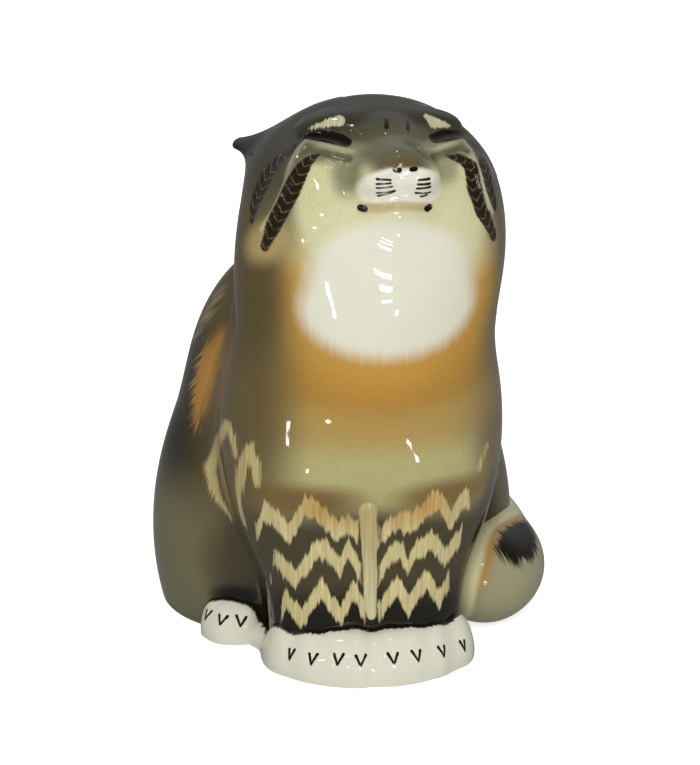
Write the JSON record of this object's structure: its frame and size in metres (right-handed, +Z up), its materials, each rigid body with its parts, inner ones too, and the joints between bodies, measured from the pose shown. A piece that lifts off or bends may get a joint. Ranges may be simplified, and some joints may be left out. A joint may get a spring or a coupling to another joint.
{
  "type": "cat figurine",
  "caption": "Seated wild-cat figurine in glazed hand-painted porcelain, face lifted and eyes shut, with its tail laid along one flank; a shelf ornament.",
  "frame": {"origin": "on the table, under the middle of the figure's outline", "axes": "+Z up, the cat faces -Y, its own right side is at -X"},
  "size_m": [0.09, 0.0946, 0.124],
  "materials": {
    "fur_glaze": "white porcelain airbrushed olive, grey, orange and cream, brushed with black and cream strokes under a clear gloss glaze",
    "dark_glaze": "dark grey-brown underglaze paint under a clear gloss glaze",
    "ivory_glaze": "ivory porcelain with black claw strokes under a clear gloss glaze",
    "biscuit": "bare fired porcelain, matt"
  },
  "bodies": {
    "root": {"body_shell": "fur_glaze", "head_shell": "fur_glaze", "right_ear": "dark_glaze", "left_ear": "dark_glaze", "right_front_paw": "ivory_glaze", "left_front_paw": "ivory_glaze", "right_hind_paw": "ivory_glaze", "tail": "fur_glaze", "base_plate": "biscuit"}
  },
  "joints": []
}
